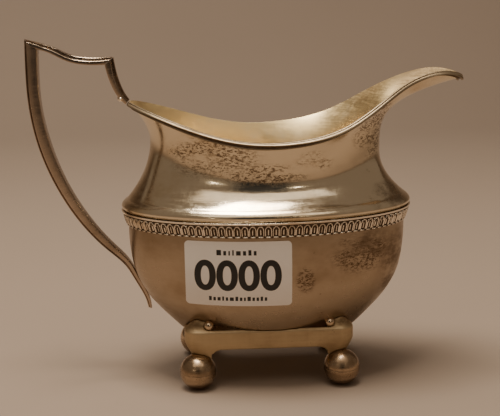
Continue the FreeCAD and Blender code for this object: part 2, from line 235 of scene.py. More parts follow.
# ---- meshes --------------------------------------------------------------------------------------
def mesh_object(name, points, faces, materials, slots=None):
    """Object from points in millimetres and lists of corner numbers."""
    mesh = bpy.data.meshes.new(name)
    mesh.from_pydata((np.asarray(points, float) * MM).tolist(), [], faces)
    for material in materials:
        mesh.materials.append(material)
    if slots is not None:
        mesh.polygons.foreach_set("material_index", np.asarray(slots, np.int32))
    mesh.polygons.foreach_set("use_smooth", np.ones(len(mesh.polygons), bool))
    mesh.validate()
    mesh.update()
    made = bpy.data.objects.new(name, mesh)
    bpy.context.scene.collection.objects.link(made)
    face_outwards(made)
    return made


def face_outwards(made):
    """Turns the faces of a closed mesh so that they all point away from its inside."""
    work = bmesh.new()
    work.from_mesh(made.data)
    bmesh.ops.recalc_face_normals(work, faces=work.faces)
    work.to_mesh(made.data)
    work.free()


def grid_faces(rows, columns, wrap_rows, wrap_columns):
    """Quads of a grid whose points are numbered row by row."""
    faces = []
    for i in range(rows if wrap_rows else rows - 1):
        below = i * columns
        above = ((i + 1) % rows) * columns
        for j in range(columns if wrap_columns else columns - 1):
            k = (j + 1) % columns
            faces.append((below + j, below + k, above + k, above + j))
    return faces


def torus_grid(name, rows, materials, row_slots=None):
    """Closed ring mesh: rows of points that each run once round the body."""
    points = np.asarray(rows)
    count, columns = points.shape[:2]
    faces = grid_faces(count, columns, True, True)
    slots = None if row_slots is None else np.repeat(np.asarray(row_slots), columns)
    return mesh_object(name, points.reshape(-1, 3), faces, materials, slots)


def carry(piece, *nodes, slot):
    """The piece rides on the jug's only body and stands for its design nodes."""
    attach(piece, "root")
    if nodes:
        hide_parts(*nodes)
    return piece


# ---- materials -----------------------------------------------------------------------------------
class Shader:
    """Small helper that adds and links nodes of one material."""

    def __init__(self, name):
        self.material = bpy.data.materials.new(name)
        self.material.use_nodes = True
        self.tree = self.material.node_tree
        self.surface = self.tree.nodes["Principled BSDF"]
        self.place = self.node("ShaderNodeTexCoord").outputs["Object"]

    def node(self, kind, **settings):
        """New node of a kind, with its settings."""
        made = self.tree.nodes.new(kind)
        for key, value in settings.items():
            setattr(made, key, value)
        return made

    def link(self, source, target):
        """Joins an output to an input."""
        self.tree.links.new(source, target)

    def feed(self, target, value):
        """Gives an input a value, or joins it to another node's output."""
        if hasattr(value, "is_output"):
            self.link(value, target)
        else:
            target.default_value = value

    def stretched(self, x, y, z):
        """Places scaled along each axis: a pattern on them is finer where the factor is larger."""
        made = self.node("ShaderNodeMapping")
        self.link(self.place, made.inputs["Vector"])
        made.inputs["Scale"].default_value = (x, y, z)
        return made.outputs["Vector"]

    def noise(self, scale, detail, rough, vector=None):
        """Cloudy pattern from 0 to 1 with about as many patches to the metre as its scale."""
        made = self.node("ShaderNodeTexNoise")
        self.link(vector or self.place, made.inputs["Vector"])
        made.inputs["Scale"].default_value = scale
        made.inputs["Detail"].default_value = detail
        made.inputs["Roughness"].default_value = rough
        return made.outputs["Fac"]

    def ramp(self, value, low, high, out_low=0.0, out_high=1.0):
        """Eases from out_low to out_high as the value goes from low to high."""
        made = self.node("ShaderNodeMapRange", interpolation_type="SMOOTHSTEP")
        self.feed(made.inputs["Value"], value)
        made.inputs["From Min"].default_value = low
        made.inputs["From Max"].default_value = high
        made.inputs["To Min"].default_value = out_low
        made.inputs["To Max"].default_value = out_high
        return made.outputs["Result"]

    def math(self, operation, first, second):
        """Result of one operation on two values."""
        made = self.node("ShaderNodeMath", operation=operation)
        self.feed(made.inputs[0], first)
        self.feed(made.inputs[1], second)
        return made.outputs["Value"]

    def times(self, *values):
        """Product of all the values."""
        result = values[0]
        for value in values[1:]:
            result = self.math("MULTIPLY", result, value)
        return result

    def plus(self, *values):
        """Sum of all the values."""
        result = values[0]
        for value in values[1:]:
            result = self.math("ADD", result, value)
        return result

    def mix(self, share, first, second):
        """Colour between the first, at 0, and the second, at 1."""
        made = self.node("ShaderNodeMix", data_type="RGBA")
        self.feed(made.inputs["Factor"], share)
        self.feed(made.inputs["A"], first if hasattr(first, "is_output") else (*first, 1.0))
        self.feed(made.inputs["B"], second if hasattr(second, "is_output") else (*second, 1.0))
        return made.outputs["Result"]

    def bump(self, height, distance, under=None):
        """Relief of a pattern, on top of another relief."""
        made = self.node("ShaderNodeBump")
        self.feed(made.inputs["Height"], height)
        made.inputs["Distance"].default_value = distance
        if under is not None:
            self.link(under, made.inputs["Normal"])
        return made.outputs["Normal"]


# Brown that real tarnish, and the painted shade along the frame's top, darken towards.
TARNISH_AND_SHADE_BROWN = (0.13, 0.075, 0.038)
GILT = (1.0, 0.79, 0.44)
GILT_WORN = (0.92, 0.78, 0.55)
GILT_SPOTS = (0.42, 0.27, 0.12)
# Painted shade inside the lip.
GILT_LIP_SHADE = (0.22, 0.155, 0.095)
DENT_DEPTH = 0.00006          # metres, as are the other depths of relief below


def scratches(shader):
    """Fine wiping lines, in three directions, from 0 to 1."""
    along = shader.noise(260.0, 3.0, 0.6, shader.stretched(0.15, 0.15, 6.0))
    across = shader.noise(240.0, 3.0, 0.6, shader.stretched(4.0, 4.0, 0.2))
    fine = shader.noise(700.0, 2.0, 0.5, shader.stretched(0.3, 0.3, 3.0))
    return shader.times(shader.plus(along, across, fine), 0.3333)


def near_point(shader, centre, radii):
    """1 inside an ellipsoid about a place in millimetres, fading to 0 outside it."""
    made = shader.node("ShaderNodeMapping", vector_type="TEXTURE")
    shader.link(shader.place, made.inputs["Vector"])
    made.inputs["Location"].default_value = tuple(c * MM for c in centre)
    made.inputs["Scale"].default_value = tuple(r * MM for r in radii)
    length = shader.node("ShaderNodeVectorMath", operation="LENGTH")
    shader.link(made.outputs["Vector"], length.inputs[0])
    return shader.ramp(length.outputs["Value"], 0.55, 1.15, 1.0, 0.0)


def silver(name, clean, warm, warmth, roughness, speckle=(), stain_and_shade=()):
    """Old silver: warm clouding, wiping lines, dents, dark speckle, and dark patches of real tarnish and
    of painted shade at given places.

    A place is the centre and the radii of an ellipsoid, in millimetres.
    """
    s = Shader(name)
    cloud = s.noise(34.0, 5.0, 0.6, s.stretched(1.0, 1.0, 1.6))
    warm_share = s.ramp(cloud, 0.62 - warmth, 0.72)
    colour = s.mix(warm_share, clean, warm)
    patches = s.ramp(s.noise(66.0, 4.0, 0.6, s.stretched(0.5, 0.5, 2.0)), 0.34, 0.50)
    specks = s.ramp(s.noise(1300.0, 6.0, 0.8, s.stretched(0.55, 0.55, 1.3)), 0.47, 0.55)
    dark = s.times(s.ramp(s.noise(340.0, 4.0, 0.7), 0.66, 0.76), 0.55)
    for centre, radii in speckle:
        dark = s.math("MAXIMUM", dark, s.times(near_point(s, centre, radii), patches, specks))
    # Each of these places darkens the silver in patches: real tarnish marks on the belly, neck and balls,
    # painted shade along the top of the frame.
    for centre, radii in stain_and_shade:
        film = s.ramp(s.noise(120.0, 6.0, 0.7, s.stretched(0.8, 0.8, 1.5)), 0.36, 0.62)
        dark = s.math("MAXIMUM", dark, s.times(near_point(s, centre, radii), film, 0.75))
    colour = s.mix(s.times(dark, 0.88), colour, TARNISH_AND_SHADE_BROWN)
    s.link(colour, s.surface.inputs["Base Color"])
    s.surface.inputs["Metallic"].default_value = 1.0
    lines = scratches(s)
    blur = s.plus(roughness, s.times(warm_share, 0.08), s.times(dark, 0.28),
                  s.times(s.ramp(lines, 0.40, 0.62), 0.10))
    s.link(blur, s.surface.inputs["Roughness"])
    soft = s.bump(s.noise(95.0, 2.0, 0.5), DENT_DEPTH)
    s.link(s.bump(lines, 0.000012, soft), s.surface.inputs["Normal"])
    return s.material


def recess(name):
    """Black-brown tarnish that polishing never reaches."""
    s = Shader(name)
    grain = s.ramp(s.noise(900.0, 5.0, 0.7), 0.35, 0.7)
    s.link(s.mix(grain, (0.055, 0.034, 0.020), (0.16, 0.105, 0.06)), s.surface.inputs["Base Color"])
    s.surface.inputs["Metallic"].default_value = 0.75
    s.link(s.ramp(grain, 0.0, 1.0, 0.42, 0.6), s.surface.inputs["Roughness"])
    s.link(s.bump(grain, 0.00002), s.surface.inputs["Normal"])
    return s.material


def gilt(name):
    """Soft worn gilding inside the vessel, darkened and roughened inside the lip as painted shade."""
    s = Shader(name)
    worn = s.ramp(s.noise(60.0, 5.0, 0.65), 0.52, 0.72)
    colour = s.mix(s.times(worn, 0.6), GILT, GILT_WORN)
    spots = s.ramp(s.noise(420.0, 4.0, 0.7), 0.68, 0.76)
    colour = s.mix(s.times(spots, 0.5), colour, GILT_SPOTS)
    # Painted shade: the gilding inside the lip is darkened and made rougher, which damps the lamps'
    # reflection there.
    lip = near_point(s, (BODY_X + 60, 0, 102), (20, 24, 14))
    colour = s.mix(s.times(lip, 0.85), colour, GILT_LIP_SHADE)
    s.link(colour, s.surface.inputs["Base Color"])
    s.surface.inputs["Metallic"].default_value = 1.0
    lines = scratches(s)
    blur = s.plus(0.36, s.times(worn, 0.08), s.times(lip, 0.30),
                  s.times(s.ramp(lines, 0.4, 0.62), 0.12))
    s.link(blur, s.surface.inputs["Roughness"])
    soft = s.bump(s.noise(80.0, 2.0, 0.5), 0.00008)
    s.link(s.bump(lines, 0.00001, soft), s.surface.inputs["Normal"])
    return s.material


def paper(name):
    """Satin label stock with faint fibres and handling grime."""
    s = Shader(name)
    grime = s.ramp(s.noise(90.0, 5.0, 0.6), 0.45, 0.8)
    s.link(s.mix(s.times(grime, 0.35), (0.92, 0.86, 0.80), (0.78, 0.71, 0.64)),
           s.surface.inputs["Base Color"])
    fibres = s.noise(1500.0, 4.0, 0.7, s.stretched(1.0, 1.0, 2.5))
    s.link(s.ramp(fibres, 0.3, 0.7, 0.34, 0.46), s.surface.inputs["Roughness"])
    s.link(s.bump(fibres, 0.000012), s.surface.inputs["Normal"])
    return s.material


def ink(name):
    """Black print with slight wear."""
    s = Shader(name)
    wear = s.ramp(s.noise(900.0, 4.0, 0.7), 0.55, 0.8)
    s.link(s.mix(s.times(wear, 0.5), (0.012, 0.011, 0.011), (0.06, 0.055, 0.05)),
           s.surface.inputs["Base Color"])
    s.link(s.ramp(wear, 0.0, 1.0, 0.35, 0.5), s.surface.inputs["Roughness"])
    return s.material


BELLY_SILVER = silver(
    "silver_belly", clean=(0.445, 0.345, 0.245), warm=(0.32, 0.23, 0.145), warmth=0.22, roughness=0.27,
    speckle=(((BODY_X + 30, -20, 47), (13, 16, 8)), ((BODY_X + 11, -26, 39), (3.5, 12, 5))),
    stain_and_shade=(((BODY_X + 31, -20, 49), (14, 14, 6)), ((BODY_X + 42, -10, 40), (7, 14, 14))))
# The neck's golden base colour is partly yellow tarnish and partly a painted warm reflection.
NECK_SILVER = silver(
    "silver_neck", clean=(0.77, 0.66, 0.49), warm=(0.58, 0.44, 0.27), warmth=0.14, roughness=0.12,
    speckle=(((BODY_X - 22, -24, 80), (20, 14, 8)), ((BODY_X - 2, -24, 74), (16, 12, 4)),
             ((BODY_X + 15, -24, 78), (7, 12, 4)), ((BODY_X + 36, -10, 88), (12, 14, 12)),
             ((BODY_X, 24, 80), (34, 12, 9))),
    stain_and_shade=(((BODY_X + 40, -14, 64), (9, 14, 5)),))
ORNAMENT_SILVER = silver(
    "silver_ornament_worn", clean=(0.90, 0.80, 0.67), warm=(0.66, 0.53, 0.38), warmth=0.10, roughness=0.20)
# Painted shade: the rim wire and the edge of the mouth get a much darker base colour than the neck's
# silver, as though in shadow; the clouding and speckle on it are tarnish.
RIM_SHADED_SILVER = silver(
    "silver_rim_worn_painted_shade", clean=(0.36, 0.285, 0.195), warm=(0.25, 0.18, 0.11), warmth=0.20, roughness=0.40)
# Painted shade: the two places along the top of the frame, where it meets the belly, darken and roughen
# the frame there; the rest is worn silver.
FRAME_SILVER = silver(
    "silver_frame_worn_top_painted_shade", clean=(0.54, 0.41, 0.25), warm=(0.37, 0.26, 0.145), warmth=0.22, roughness=0.50,
    stain_and_shade=(((BODY_X + 5, 0, 22.6), (60, 60, 2.8)), ((BODY_X + 5, 0, 23.0), (70, 70, 2.6))))
CAST_SILVER = silver(
    "silver_cast_worn", clean=(0.56, 0.43, 0.30), warm=(0.37, 0.26, 0.165), warmth=0.26, roughness=0.10,
    stain_and_shade=(((BODY_X, 0, 8), (50, 50, 9)),))
HANDLE_SILVER = silver(
    "silver_handle_worn", clean=(0.45, 0.355, 0.27), warm=(0.30, 0.22, 0.15), warmth=0.18, roughness=0.17)
DARK_RECESS = recess("tarnish_in_hollows")
GILT_INSIDE = gilt("silver_gilt_inside")
LABEL_PAPER = paper("label_paper_stock")
LABEL_INK = ink("label_ink")


# ---- body ----------------------------------------------------------------------------------------
BELLY_ROWS = 110
BELLY_COLUMNS = 420
BELLY_WAVES = 0.035           # height of the hand-worked waves
SHOULDER_ROWS = 39
NECK_ROWS = 90
NECK_COLUMNS = 720
NECK_WAVES = 0.03


def shell_rows(surface, shares, top, count, depth):
    """Rows of points of a hollow wall, on its outside and on its inside."""
    bearing = np.arange(count) * TURN / count
    outside = []
    inside = []
    for share in shares:
        at = np.full(count, share)
        point = surface(bearing, at)
        normal = outward(surface, bearing, at, top)
        point = point + normal * hand_worked(point, depth)[:, None]
        outside.append(point)
        inside.append(point - normal * WALL)
    return outside, inside


def eased(count, first, last):
    """Shares from first to last, closer together towards the last."""
    t = np.linspace(0.0, 1.0, count)
    return first + (last - first) * (1 - (1 - t) ** 1.5)


def belly():
    """Lower body: silver outside, gilt inside."""
    shares = np.linspace(0.0, 1.0, BELLY_ROWS)
    outside, inside = shell_rows(lower_surface, shares, 1.0, BELLY_COLUMNS, BELLY_WAVES)
    wall_faces = BELLY_ROWS - 1
    slots = [0] * wall_faces + [0] + [1] * wall_faces + [0]
    made = torus_grid("belly", outside + inside[::-1], [BELLY_SILVER, GILT_INSIDE], slots)
    return carry(made, "lower_body", slot="silver_sheet")


def neck():
    """Upper body: silver outside, gilt inside, and painted shade on the edge of the mouth, in the rim's
    darker silver.
    """
    roll = np.linspace(0.0, 1.0, SHOULDER_ROWS, endpoint=False)
    shares = np.concatenate([roll, eased(NECK_ROWS, 1.0, 2.0)])
    outside, inside = shell_rows(upper_surface, shares, 2.0, NECK_COLUMNS, NECK_WAVES)
    wall_faces = len(shares) - 1
    slots = [0] * wall_faces + [2] + [1] * wall_faces + [0]
    materials = [NECK_SILVER, GILT_INSIDE, RIM_SHADED_SILVER]
    made = torus_grid("neck_and_lip", outside + inside[::-1], materials, slots)
    return carry(made, "upper_body", slot="silver_sheet")


# ---- reeded rim ----------------------------------------------------------------------------------
RIM_ROWS = 34
RIM_COLUMNS = 900
HOLLOW_DEPTH = 0.42           # relief below this share of the full height stays tarnished


def share_below(bearing, distance):
    """Station on the neck a distance below the mouth, for each bearing."""
    shares = np.linspace(2.0, 1.8, 60)
    points = np.stack([upper_surface(bearing, np.full(len(bearing), s)) for s in shares])
    travelled = np.cumsum(np.linalg.norm(np.diff(points, axis=0), axis=2), axis=0)
    travelled = np.vstack([np.zeros(len(bearing)), travelled])
    return np.array([np.interp(distance, travelled[:, i], shares) for i in range(len(bearing))])


def reeded_profile(count):
    """Depth of the rim wire against the way down it: a bold bead, a groove and a thin thread."""
    down = np.linspace(0.0, 1.0, count)
    bead = 0.95 * np.sqrt(np.clip(1 - ((down - 0.16) / 0.18) ** 2, 0, 1))
    thread = 0.28 + 0.42 * np.sqrt(np.clip(1 - ((down - 0.86) / 0.12) ** 2, 0, 1))
    groove = 0.26 + 0.10 * down
    return down, np.maximum(np.maximum(bead, thread), groove)


def rim():
    """Reeded wire round the outside of the mouth."""
    bearing = np.arange(RIM_COLUMNS) * TURN / RIM_COLUMNS
    down, depth = reeded_profile(RIM_ROWS)
    front = []
    back = []
    for way, thick in zip(down, depth):
        share = share_below(bearing, way * RIM_WIRE_HEIGHT)
        point = upper_surface(bearing, share)
        normal = outward(upper_surface, bearing, share, 2.0)
        front.append(point + normal * (SEAT + thick * (RIM_WIRE_THICKNESS - SEAT)))
        back.append(point + normal * SEAT)
    slots = [int(max(pair) < HOLLOW_DEPTH) for pair in zip(depth[:-1], depth[1:])]
    slots += [0] * (RIM_ROWS + 1)
    # The rim's silver is painted shade, darker than the neck's.
    made = torus_grid("rim_reeding", front + back[::-1], [RIM_SHADED_SILVER, DARK_RECESS], slots)
    return carry(made, "rim_wire", slot="silver_ornament")


# ---- ornamental band -----------------------------------------------------------------------------
MOTIFS = 100
COLUMNS_PER_MOTIF = 22
BAND_ROWS = 46
BAND_GROUND = 0.04            # thickness of the band between its raised parts
BAND_HOLLOW = 0.36            # relief below this share of the full height stays tarnished
FILLET_FROM = 0.84            # shares of the band's height
BEAD_MIDDLE = 0.06
ARCH_SPRING = 0.50
ARCH_RISE = 0.34
ARCH_LINE = 0.80              # shares of half the width of a motif
LEAF_HALF_WIDTH = 0.40
OVAL_STEPS = 7200


def arch_relief(u, v):
    """Height from 0 to 1 of one arch; u runs across it from -1 to 1, v up from 0 to 1."""
    top_fillet = np.clip((v - FILLET_FROM) / 0.04, 0, 1)
    scallop = 0.62 + 0.38 * np.cos(u * math.pi)
    bottom_bead = np.clip(1 - np.abs(v - BEAD_MIDDLE) / 0.07, 0, 1) ** 0.6 * scallop
    in_arch = np.hypot(u, (v - ARCH_SPRING) / ARCH_RISE)
    radius = np.where(v > ARCH_SPRING, in_arch, np.abs(u))
    rib = np.clip(1 - np.abs(radius - ARCH_LINE) / 0.15, 0, 1) ** 0.6
    rib = rib * np.clip((v - 0.10) / 0.05, 0, 1)
    leaf_radius = np.hypot(u / LEAF_HALF_WIDTH, np.maximum(v - 0.46, 0) / 0.22)
    veins = 0.62 + 0.38 * np.cos(u * 21.0)
    leaf = np.clip(1 - leaf_radius, 0, 1) ** 0.5 * np.clip((v - 0.16) / 0.06, 0, 1) * veins
    field = np.maximum.reduce([rib, 0.78 * leaf, 0.95 * bottom_bead])
    return np.maximum(field, top_fillet)


def band():
    """Applied band of arches, tarnished in its hollows."""
    columns = MOTIFS * COLUMNS_PER_MOTIF
    bearing = np.arange(columns) * TURN / columns
    travelled = oval_length(SHOULDER_LENGTH, SHOULDER_WIDTH, bearing)
    u = (travelled * MOTIFS) % 1.0 * 2 - 1
    low_inset = SHOULDER_MERIDIAN[0][0] - SEAT
    high_inset = SHOULDER_MERIDIAN[2][0] - 2 * SEAT
    rows = []
    back = []
    relief_rows = []
    for v in np.linspace(0.0, 1.0, BAND_ROWS):
        inset = low_inset + (high_inset - low_inset) * v
        z = BAND_BOTTOM_Z + (BAND_TOP_Z - BAND_BOTTOM_Z) * v
        high = arch_relief(u, np.full(columns, v))
        relief = BAND_GROUND + (BAND_THICKNESS - BAND_GROUND) * high
        relief_rows.append(high)
        length = SHOULDER_LENGTH - inset
        width = SHOULDER_WIDTH - inset
        rows.append(oval(length + relief, width + relief, bearing, z))
        back.append(oval(length, width, bearing, z))
    made = torus_grid("arched_band", rows + back[::-1], [ORNAMENT_SILVER, DARK_RECESS])
    relief_rows = np.array(relief_rows)
    beside = np.roll(relief_rows, -1, axis=1)
    middle = (relief_rows[:-1] + relief_rows[1:] + beside[:-1] + beside[1:]) / 4
    slots = np.zeros(len(made.data.polygons), np.int32)
    slots[:middle.size] = (middle < BAND_HOLLOW).ravel()
    made.data.polygons.foreach_set("material_index", slots)
    return carry(made, "shoulder_band", slot="silver_ornament")


def oval_length(half_length, half_width, bearing):
    """Share of the way round an oval at each bearing, from 0 to 1."""
    fine = np.linspace(0.0, TURN, OVAL_STEPS + 1)
    speed = np.hypot(half_length * np.sin(fine), half_width * np.cos(fine))
    way = np.concatenate([[0.0], np.cumsum((speed[1:] + speed[:-1]) / 2)])
    return np.interp(bearing, fine, way / way[-1])


# ---- handle --------------------------------------------------------------------------------------
GLINT_BEAD_RADII = (1.25, 2.5, 1.2)


def bar_outline(width, depth):
    """Section of the bar: across it, and from its inside (0) to the ridge outside (depth)."""
    half = width / 2
    shoulder = max(0.4 * depth, depth - RIDGE_HEIGHT)
    soft = min(0.35, 0.25 * shoulder)
    thread = 0.13 * width
    outline = []
    for turn in np.radians(np.linspace(-90, 0, 5)):
        outline.append((half - soft + soft * math.cos(turn), soft + soft * math.sin(turn)))
    outline.append((half, shoulder * 0.55))
    bead = thread / 2
    for turn in np.radians(np.linspace(0, 150, 8)):
        outline.append((half - bead + bead * math.cos(turn), shoulder + bead * math.sin(turn)))
    rise = depth - shoulder
    for share in np.linspace(0.12, 0.78, 6):
        across = (half - thread) * (1 - share)
        outline.append((across, shoulder + rise * (0.08 + 0.62 * share ** 1.3)))
    ridge = 0.12 * width
    crown = 0.55 * ridge
    for turn in np.radians(np.linspace(20, 90, 5)):
        outline.append((ridge * math.cos(turn), depth - crown + crown * math.sin(turn)))
    mirrored = [(-across, out) for across, out in reversed(outline[:-1])]
    return outline + mirrored


def bar(name, stations, count, node):
    """Handle bar swept through its stations, closed by a flat face at each end."""
    values = np.asarray(stations, float)
    middle = (values[:, 0:2] + values[:, 2:4]) / 2
    at_share = by_length(middle, values)
    sections = []
    for share in np.linspace(0.0, 1.0, count):
        x_in, z_in, x_out, z_out, width = at_share(share)
        inside = np.array([BODY_X + x_in, 0.0, z_in])
        depth_vector = np.array([BODY_X + x_out, 0.0, z_out]) - inside
        depth = np.linalg.norm(depth_vector)
        section = [inside + depth_vector * (d / depth) + np.array([0.0, y, 0.0])
                   for y, d in bar_outline(width, depth)]
        sections.append(section)
    points = np.asarray(sections)
    rows, columns = points.shape[:2]
    faces = grid_faces(rows, columns, False, True)
    faces.append(tuple(range(columns)))
    faces.append(tuple(reversed(range((rows - 1) * columns, rows * columns))))
    made = mesh_object(name, points.reshape(-1, 3), faces, [HANDLE_SILVER])
    sharpen(made, SHARP_EDGE)
    return carry(made, node, slot="silver_cast")


def riser_bead():
    """Small bright bead on the inner face of the riser, near its foot: a painted highlight standing for
    the glint at the kink where the riser meets the rim.
    """
    x, z = RISER[3][0:2]
    centre = np.array([BODY_X + x + 0.35, 0.0, z - 0.1])
    columns = 36
    bearing = np.arange(columns) * TURN / columns
    rows = []
    for rise in np.linspace(-0.49, 0.49, 19) * math.pi:
        ring = oval_ring(math.cos(rise), bearing, math.sin(rise))
        rows.append(centre + np.array(GLINT_BEAD_RADII) * ring)
    points = np.concatenate(rows)
    faces = grid_faces(len(rows), columns, False, True)
    faces += [tuple(range(columns)), tuple(range(len(points) - columns, len(points)))]
    # Painted highlight: the bead is in the lighter ornament silver, far brighter than the handle's.
    made = mesh_object("riser_glint_bead", points, faces, [ORNAMENT_SILVER])
    return carry(made, slot="silver_ornament")


def oval_ring(radius, bearing, height):
    """Level ring of points about the vertical axis."""
    level = np.full(len(bearing), height)
    return np.stack([radius * np.cos(bearing), radius * np.sin(bearing), level], axis=-1)


def sharpen(made, degrees):
    """Marks edges sharper than the angle, so that smooth shading stops there."""
    work = bmesh.new()
    work.from_mesh(made.data)
    limit = math.radians(degrees)
    for edge in work.edges:
        if len(edge.link_faces) == 2 and edge.calc_face_angle(0.0) > limit:
            edge.smooth = False
    work.to_mesh(made.data)
    work.free()


# ---- base ----------------------------------------------------------------------------------------
BALL_ROWS = 44
BALL_COLUMNS = 110
BALL_CAP = 0.985              # share of the way to the top at which a ball is closed by a small flat
FRAME_GRAIN = 0.28            # size of the frame's mesh
STUD_ROWS = 26
STUD_COLUMNS = 48


def lathe(name, profile, centre, count):
    """Turned piece about a vertical axis, from (radius, height) pairs, closed at both ends."""
    bearing = np.arange(count) * TURN / count
    rows = [np.array(centre) + oval_ring(radius, bearing, height) for radius, height in profile]
    ends = np.array([(*centre[:2], centre[2] + profile[row][1]) for row in (-1, 0)])
    faces = grid_faces(len(rows), count, False, True)
    tip = len(rows) * count
    last = tip - count
    for j in range(count):
        k = (j + 1) % count
        faces.append((last + j, last + k, tip))
        faces.append((k, j, tip + 1))
    made = mesh_object(name, np.concatenate(rows + [ends]), faces, [CAST_SILVER])
    sharpen(made, SHARP_EDGE)
    return made


def ball_half(corner, upper):
    """Half of a ball foot, with its soldered seam and, below, the flat it has worn."""
    node = "ball_foot_%s_%s" % (corner, "upper" if upper else "lower")
    low, high = (np.array(v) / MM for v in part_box(node))
    radius = (high[0] - low[0]) / 2
    centre = ((low[0] + high[0]) / 2, (low[1] + high[1]) / 2, low[2] if upper else high[2])
    reach = high[2] - low[2]
    end = math.asin(min(1.0, reach / radius))
    sign = 1.0 if upper else -1.0
    top = BALL_CAP * end if upper else end
    profile = [(0.5, 0.0)]
    for latitude in np.linspace(0.0, top, BALL_ROWS):
        groove = SEAM_GROOVE * math.exp(-latitude * radius / SEAM_SPREAD)
        profile.append(((radius - groove) * math.cos(latitude), sign * radius * math.sin(latitude)))
    name = "ball_%s_%s" % (corner, "top" if upper else "bottom")
    return carry(lathe(name, profile, centre, BALL_COLUMNS), node, slot="silver_cast")


def copy_of_node(name, node, material):
    """New piece that starts from the shape of a design node."""
    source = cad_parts[node]
    mesh = source.data.copy()
    mesh.name = name
    mesh.materials.clear()
    mesh.materials.append(material)
    made = bpy.data.objects.new(name, mesh)
    bpy.context.scene.collection.objects.link(made)
    made.matrix_world = source.matrix_world.copy()
    return made


def foot_frame():
    """The frame as cast and filed by hand: its edges are softened all over."""
    made = copy_of_node("frame_with_arched_sides", "foot_frame", FRAME_SILVER)
    bpy.context.view_layer.objects.active = made
    made.select_set(True)
    remesh = made.modifiers.new("even_skin", "REMESH")
    remesh.mode = "VOXEL"
    remesh.voxel_size = FRAME_GRAIN * MM
    remesh.use_smooth_shade = True
    soften = made.modifiers.new("soft_edges", "SMOOTH")
    soften.factor = 0.5
    soften.iterations = 8
    bpy.ops.object.modifier_apply(modifier="even_skin")
    bpy.ops.object.modifier_apply(modifier="soft_edges")
    made.select_set(False)
    return carry(made, "foot_frame", slot="silver_cast")


def stud(corner, side_y):
    """Bead with a slightly flattened crown, on a shank sunk in the frame."""
    node = "frame_stud_" + corner
    low, high = (np.array(v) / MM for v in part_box(node))
    head = (high[0] - low[0]) / 2
    outer_y = low[1] if side_y < 0 else high[1]
    centre = ((low[0] + high[0]) / 2, outer_y - side_y * head, low[2] + STUD_LENGTH)
    profile = [(STUD_SHANK, low[2] - centre[2]), (STUD_SHANK, -0.9 * head)]
    for latitude in np.linspace(-0.9, 1.5, STUD_ROWS):
        profile.append((head * math.cos(latitude), head * math.sin(latitude)))
    return carry(lathe("stud_" + corner, profile, centre, STUD_COLUMNS), node, slot="silver_cast")


def base_plate():
    """The plate that closes the belly keeps its design shape and is gilt like the inside."""
    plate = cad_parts["base_plate"]
    for place in plate.material_slots:
        place.material = GILT_INSIDE


# ---- label ---------------------------------------------------------------------------------------
def belly_half_length(z):
    """Half length of the belly at each height."""
    place = LOWER_CURVE(np.linspace(0.0, 1.0, 600))
    return np.interp(z, place[::-1, 1], place[::-1, 0])


def on_belly(x, z, lift):
    """Point a distance off the near side of the belly; x is measured from the body's axis."""
    length = belly_half_length(z)
    narrowing = WAIST_WIDTH / WAIST_LENGTH
    width = length * narrowing
    y = -width * np.sqrt(np.clip(1 - (x / length) ** 2, 0, 1))
    step = 0.05
    growth = (belly_half_length(z + step) - length) / step
    slope = -(x ** 2 / length ** 3 + y ** 2 / width ** 3 * narrowing) * growth
    normal = np.stack([x / length ** 2, y / width ** 2, slope], axis=-1)
    normal /= np.linalg.norm(normal, axis=-1)[..., None]
    point = np.stack([BODY_X + x, y, z], axis=-1)
    return point + normal * np.asarray(lift)[..., None]


LABEL_LOW, LABEL_HIGH = (np.array(corner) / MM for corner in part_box("lot_label"))
LABEL_X = (LABEL_LOW[0] - BODY_X, LABEL_HIGH[0] - BODY_X)
LABEL_Z = (LABEL_LOW[2], LABEL_HIGH[2])
LABEL_THICKNESS = 0.15
LABEL_CORNER = 1.4
LABEL_ROWS = 60
LABEL_COLUMNS = 90
INK_LIFT = 0.02
NUMBER_SIZE = 14.4
NUMBER_BOLDNESS = 0.36
HEADING_BLOCKS = (1.5, 0.9, 0.5, 0.5, 1.5, 1.0, 1.0, 0.9)
HEADING_GAP = 0.75
HEADING_HEIGHT = 1.5
FOOTING_BLOCKS = (0.9, 0.8, 1.0, 0.6, 0.8, 1.3, 0.9, 0.8, 0.6, 1.1, 0.8, 0.8, 0.8, 0.8)
FOOTING_GAP = 0.55
FOOTING_HEIGHT = 1.3
NUMBER_PLACE = (-0.2, 0.46)   # across from the label's middle, and share of the way up it
HEADING_PLACE = (-0.6, 0.83)
FOOTING_PLACE = (-0.3, 0.115)


